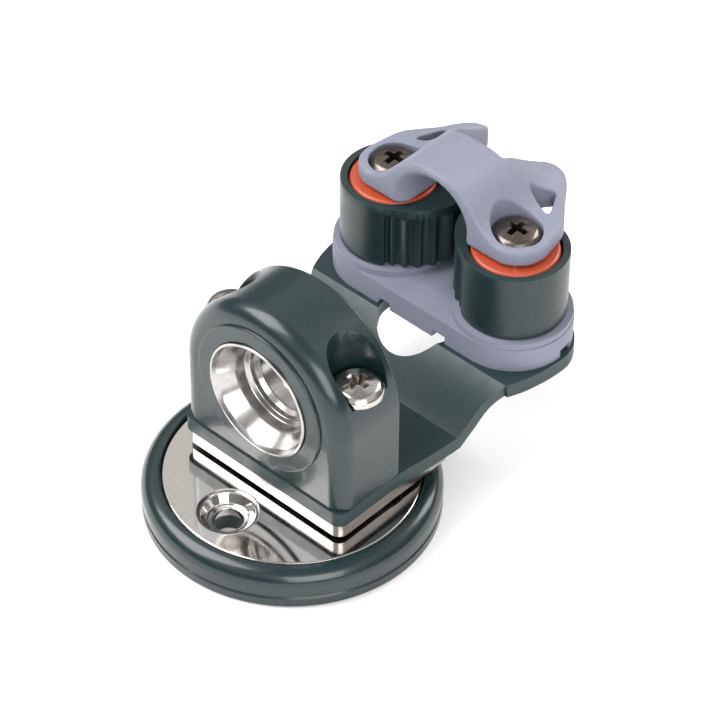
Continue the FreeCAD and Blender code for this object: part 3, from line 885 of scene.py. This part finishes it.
def cam(name, side):
    """One cam, drawn as a drum whose columns are pulled out to the spiral and cut into teeth."""
    clear_picks()
    centre = Vector((side * cam_x, cam_y, 0))
    bpy.ops.mesh.primitive_cylinder_add(
        vertices=columns,
        radius=cam_back * mm,
        depth=(cam_high - cam_low) * mm,
        location=(centre + Vector((0, 0, (cam_low + cam_high) / 2))) * mm,
    )
    piece = settled(named(name))
    bpy.ops.object.mode_set(mode="EDIT")
    for level in (tooth_foot, tooth_roof, tooth_eaves):
        bpy.ops.mesh.select_all(action="SELECT")
        bpy.ops.mesh.bisect(plane_co=(0, 0, level * mm), plane_no=(0, 0, 1))
    for column in range(columns):
        turn = 360 * column / columns
        angle = turn if turn <= 180 else turn - 360
        heading = math.radians(180 - turn if side > 0 else turn)
        spot = centre + Vector((math.cos(heading), math.sin(heading), 0)) * cam_back
        for low, high, cut in (
            (0, tooth_roof + 0.1, tooth_depth * flute(angle)), (tooth_roof + 0.1, 60, 0)
        ):
            pick(
                piece,
                "verts",
                lambda p: low < p.z < high and math.hypot(p.x - spot.x, p.y - spot.y) < 0.1,
            )
            grow = (cam_reach(angle) - cut) / cam_back
            bpy.ops.transform.resize(value=(grow, grow, 1), center_override=centre * mm)
    bpy.ops.object.mode_set(mode="OBJECT")
    combine(piece, drill(ball_room, 0, 60, (side * cam_x, cam_y), around=96))
    combine(
        piece,
        drill(keeper_room, cam_high - keeper_room_depth, 60, (side * cam_x, cam_y), around=96),
    )
    soften(piece, 0.22, 2, 55)
    return smoothed(piece, 38)


cam_green = moulded_plastic(
    "cam_green",
    dark=rgb(17, 32, 34),
    light=rgb(28, 47, 49),
    edge=rgb(58, 78, 79),
    roughness=(0.32, 0.42),
    grain=2800.0,
    depth=0.025,
    gloss=0.08,
    highlight_strength=0.35,
)
for side, end in ((-1, "left"), (1, "right")):
    fitted(cam("cam_moulding_" + end, side), cam_green, "cam_" + end, "cam_green", "cam_" + end)


# ---------------------------------------------------------------- cam bearings
# Each cam turns on two rows of plastic balls round a white hub, kept in by an orange-red ring
# that shows under the guide's foot. A steel torsion spring below the balls closes the cam.

orange_moulding = moulded_plastic(
    "orange_moulding",
    dark=rgb(172, 66, 39),
    light=rgb(186, 80, 51),
    edge=rgb(206, 104, 74),
    roughness=(0.3, 0.44),
    grain=2400.0,
    depth=0.015,
    gloss=0.1,
    highlight_strength=0.6,
)
for side, end in ((-1, "left"), (1, "right")):
    keeper = turned(
        "ball_keeper_" + end + "_ring",
        [(4.72, 37.17, 0), (7.48, 37.17, 0.1), (7.48, 38.83, 0.65), (4.72, 38.83, 0.1)],
        at=(side * cam_x, cam_y),
    )
    fitted(smoothed(keeper), orange_moulding, "swivel", "orange_moulding", "ball_keeper_" + end)
    refinish(
        white_acetal,
        "hub_" + end,
        "lower_balls_" + end,
        "upper_balls_" + end,
    )
spring_steel = worked_steel(
    "spring_steel",
    dark=rgb(150, 148, 146),
    light=rgb(190, 188, 186),
    roughness=(0.18, 0.35),
    scratch=3000.0,
    depth=0.02,
)
refinish(spring_steel, "return_spring_left", "return_spring_right")


# ---------------------------------------------------------------- saddle
# One-piece rope guide in the same lilac-grey moulding. Two feet take the cleat screws, a bell-
# mouthed arch holds the rope down over the cams, and two ears slope away behind it.

saddle_low, pad_level = 39.32, 42.35
bell = [(0, 50.15), (3, 50.05), (5.5, 49.3), (7.5, 47.75), (9, 46.0)]
bell += [(10.5, 44.3), (12, 43.1), (13.5, 42.5), (16, 42.35)]
saddle_front, saddle_rear = 33.25, 55.95
ridge = [(33.25, 1.0), (44.6, 1.0), (46.0, 0.98), (50.0, 0.62), (54.0, 0.27), (55.95, 0.12)]
saddle_half = 19.6
saddle_columns, saddle_rows = 98, 58


def bell_level(x):
    """Level of the guide's upper face across its crown."""
    return eased([*bell, (30, 42.35)], min(abs(x), 20))


clear_picks()
bpy.ops.mesh.primitive_grid_add(x_subdivisions=saddle_columns, y_subdivisions=saddle_rows, size=mm)
saddle = named("saddle_moulding")
bpy.ops.object.mode_set(mode="EDIT")
bpy.ops.mesh.select_all(action="SELECT")
bpy.ops.transform.resize(value=(2 * saddle_half, saddle_rear - saddle_front, 1))
bpy.ops.transform.translate(value=(0, (saddle_front + saddle_rear) / 2 * mm, 0))
for column in range(saddle_columns + 1):
    x = saddle_half * (2 * column / saddle_columns - 1)
    pick(saddle, "verts", lambda p: abs(p.x - x) < 0.05)
    bpy.ops.transform.translate(value=(0, 0, bell_level(x) * mm))
for row in range(saddle_rows + 1):
    y = saddle_front + (saddle_rear - saddle_front) * row / saddle_rows
    pick(saddle, "verts", lambda p: abs(p.y - y) < 0.05)
    share = eased(ridge, y)
    bpy.ops.transform.resize(value=(1, 1, share), center_override=(0, 0, pad_level * mm))
bpy.ops.mesh.select_all(action="SELECT")
bpy.ops.mesh.extrude_region_move(TRANSFORM_OT_translate={"value": (0, 0, -20 * mm)})
bpy.ops.mesh.select_all(action="SELECT")
bpy.ops.mesh.normals_make_consistent(inside=False)
bpy.ops.object.mode_set(mode="OBJECT")


def prism(corners, low, high, corner_round=0.0):
    """Upright blank with an outline, its upright edges rounded."""
    clear_picks()
    bpy.ops.mesh.primitive_circle_add(vertices=len(corners), radius=mm, fill_type="NGON")
    piece = named("cutter")
    bpy.ops.object.mode_set(mode="EDIT")
    mesh = bmesh.from_edit_mesh(piece.data)
    for corner, (x, y) in zip(mesh.verts, corners):
        corner.co = Vector((x, y, low)) * mm
    bmesh.update_edit_mesh(piece.data)
    if corner_round:
        bpy.ops.mesh.select_all(action="SELECT")
        bpy.ops.mesh.bevel(offset=corner_round * mm, segments=6, affect="VERTICES")
    bpy.ops.mesh.select_all(action="SELECT")
    bpy.ops.mesh.extrude_region_move(TRANSFORM_OT_translate={"value": (0, 0, (high - low) * mm)})
    bpy.ops.mesh.select_all(action="SELECT")
    bpy.ops.mesh.normals_make_consistent(inside=False)
    bpy.ops.object.mode_set(mode="OBJECT")
    return settled(piece)


tunnel_radius, tunnel_level = 6.3, 40.9
foot_radius, well_radius, well_floor = 6.0, 4.4, 39.8
outline_half = [(13.5, 33.25), (19.3, 40.9), (18.2, 45.6), (13.9, 50.9), (11.6, 54.2), (9.4, 55.9)]
outline = outline_half + [(-x, y) for x, y in reversed(outline_half)]
plan = prism(outline, saddle_low, 60, 1.1)
for side in (-1, 1):
    combine(plan, drill(foot_radius, saddle_low, 60, (side * cam_x, cam_y), around=96), "UNION")
combine(saddle, plan, "INTERSECT")
tunnel = drill(tunnel_radius, 20, 70, (0, tunnel_level), around=96, along_y=True)
combine(tunnel, block((-tunnel_radius, 20, 30), (tunnel_radius, 70, tunnel_level)), "UNION")
combine(saddle, tunnel)
mouth = turned(
    "mouth",
    [
        (4, -4, 0),
        (8.2, -4, 0),
        (8.2, -0.05, 0),
        (7.3, 0.6, 0),
        (6.7, 1.5, 0),
        (6.35, 3.0, 0),
        (4, 3.2, 0),
    ],
    around=96,
)
combine(saddle, facing_front(mouth, tunnel_level, saddle_front))
gap_half = [(5.2, 44.9), (6.2, 54.5), (6.9, 55.5), (7.8, 56.4), (7.8, 60)]
combine(saddle, prism([(-x, y) for x, y in reversed(gap_half)] + gap_half, 30, 70))
apply_to(saddle, "REMESH", mode="VOXEL", voxel_size=0.24 * mm)
apply_to(saddle, "SMOOTH", factor=0.5, iterations=14)
for side in (-1, 1):
    combine(saddle, drill(well_radius, well_floor, 60, (side * cam_x, cam_y), around=96))
    combine(saddle, drill(screw_bore, 20, 60, (side * cam_x, cam_y)))
    window = [(side * x, y) for x, y in ((9.0, 46.7), (14.9, 45.5), (12.2, 50.9))]
    combine(saddle, prism(window, 20, 60, 1.0))
apply_to(saddle, "REMESH", mode="VOXEL", voxel_size=0.22 * mm)
apply_to(saddle, "SMOOTH", factor=0.5, iterations=4)
take_up(saddle)
bpy.ops.object.shade_smooth()
fitted(saddle, grey_moulding, "swivel", "grey_moulding", "cleat_saddle")


# ---------------------------------------------------------------- cleat screws and nuts
# Two long M4 screws with duller heads clamp guide, hubs and base down on the arm's deck, and a
# plain hexagon nut holds each one underneath.

dull_steel = worked_steel(
    "dull_screw_steel",
    dark=rgb(96, 89, 85),
    light=rgb(126, 118, 113),
    roughness=(0.24, 0.36),
    scratch=2600.0,
    depth=0.015,
)
nut_corners, nut_height, nut_middle, nut_bore = 4.02, 3.16, 16.1, 2.02
for side, end in ((1, "right"), (-1, "left")):
    screw = pan_head_screw(
        "cleat_screw_" + end, side * cam_x, cam_y, top=42.75, tip=13.75, dome=0.4, head=4.25
    )
    fitted(screw, dull_steel, "swivel", "dull_screw_steel", "cleat_screws")
    clear_picks()
    bpy.ops.mesh.primitive_cylinder_add(
        vertices=6,
        radius=nut_corners * mm,
        depth=nut_height * mm,
        location=Vector((side * cam_x, cam_y, nut_middle)) * mm,
        rotation=(0, 0, math.pi / 2),
    )
    nut = settled(named("cleat_nut_" + end))
    chamfer = turned(
        "chamfer",
        [
            (0.05, 14.4, 0),
            (3.5, 14.4, 0),
            (4.1, 14.9, 0),
            (4.1, 17.3, 0),
            (3.5, 17.8, 0),
            (0.05, 17.8, 0),
        ],
        at=(side * cam_x, cam_y),
        around=96,
        capped=True,
    )
    combine(nut, chamfer, "INTERSECT")
    combine(nut, drill(nut_bore, 0, 60, (side * cam_x, cam_y)))
    smoothed(nut, 20)
    fitted(nut, screw_steel, "swivel", "screw_steel", "cleat_nuts")


# ---------------------------------------------------------------- stage
# Pale floor, soft lights and the camera. None of it belongs to the object.

clear_picks()
bpy.ops.mesh.primitive_plane_add(size=6, location=(0, 0, -0.0002))
floor = named("floor")
paper, nodes, links, shader, place = blank_material("pale_paper")
patch = noise(nodes, links, place, 30.0, 2.0)
links.new(
    blended(nodes, links, patch, (0.9, 0.9, 0.905, 1), (0.93, 0.93, 0.93, 1)),
    shader.inputs["Base Color"],
)
shader.inputs["Roughness"].default_value = 0.9
shader.inputs["Specular IOR Level"].default_value = 0.1
shader.inputs["Emission Color"].default_value = (1, 1, 1, 1)
shader.inputs["Emission Strength"].default_value = 0.15
floor.data.materials.append(paper)

world = bpy.data.worlds.new("soft_room")
bpy.context.scene.world = world
world.use_nodes = True
nodes, links = world.node_tree.nodes, world.node_tree.links
air = nodes["Background"]
direction = nodes.new("ShaderNodeTexCoord").outputs["Generated"]
height = nodes.new("ShaderNodeSeparateXYZ")
links.new(direction, height.inputs["Vector"])
lift = remap(nodes, links, height.outputs["Z"], 0.0, 1.0)
ramp = nodes.new("ShaderNodeValToRGB")
ramp.color_ramp.elements[0].position = 0.0
ramp.color_ramp.elements[0].color = (0.3, 0.29, 0.28, 1)
ramp.color_ramp.elements[1].position = 1.0
ramp.color_ramp.elements[1].color = (0.45, 0.44, 0.43, 1)
for position, level in ((0.25, 0.22), (0.45, 0.42), (0.58, 0.95), (0.78, 0.95), (0.9, 0.5)):
    stop = ramp.color_ramp.elements.new(position)
    stop.color = (level, level * 0.96, level * 0.93, 1)
links.new(lift, ramp.inputs["Fac"])
links.new(ramp.outputs["Color"], air.inputs["Color"])
air.inputs["Strength"].default_value = 0.85
seen = nodes.new("ShaderNodeBackground")
seen.inputs["Color"].default_value = (1, 1, 1, 1)
seen.inputs["Strength"].default_value = 1.0
path = nodes.new("ShaderNodeLightPath")
either = nodes.new("ShaderNodeMixShader")
links.new(path.outputs["Is Camera Ray"], either.inputs["Fac"])
links.new(air.outputs["Background"], either.inputs[1])
links.new(seen.outputs["Background"], either.inputs[2])
links.new(either.outputs["Shader"], nodes["World Output"].inputs["Surface"])


def softbox(name, place, size, power):
    """Square soft light that faces the middle of the object."""
    light = bpy.data.lights.new(name, "AREA")
    light.size = size
    light.energy = power
    lamp = bpy.data.objects.new(name, light)
    lamp.location = place
    facing = Vector((0, 0.015, 0.02)) - Vector(place)
    lamp.rotation_euler = facing.to_track_quat("-Z", "Y").to_euler()
    bpy.context.scene.collection.objects.link(lamp)


softbox("key_light", (-0.35, -0.25, 0.6), 0.55, 6.0)
softbox("fill_light", (0.6, -0.35, 0.4), 0.5, 4.0)
softbox("back_light", (0.1, 0.7, 0.45), 0.4, 3.0)

camera_place, focal_length = (0.26446, -0.27183, 0.37433), 159.3
azimuth, elevation, roll = math.radians(42.54), math.radians(42.15), math.radians(0.53)
backwards = Vector((
    math.sin(azimuth) * math.cos(elevation),
    -math.cos(azimuth) * math.cos(elevation),
    math.sin(elevation),
))
aside = Vector((math.cos(azimuth), math.sin(azimuth), 0))
upwards = backwards.cross(aside)
rolled_aside = math.cos(roll) * aside + math.sin(roll) * upwards
rolled_upwards = math.cos(roll) * upwards - math.sin(roll) * aside
lens = bpy.data.cameras.new("camera")
lens.sensor_width = 36
lens.lens = focal_length
camera = bpy.data.objects.new("camera", lens)
turning = Matrix((rolled_aside, rolled_upwards, backwards)).transposed().to_4x4()
camera.matrix_world = Matrix.Translation(camera_place) @ turning
bpy.context.scene.collection.objects.link(camera)
bpy.context.scene.camera = camera
bpy.context.scene.view_settings.view_transform = "Standard"
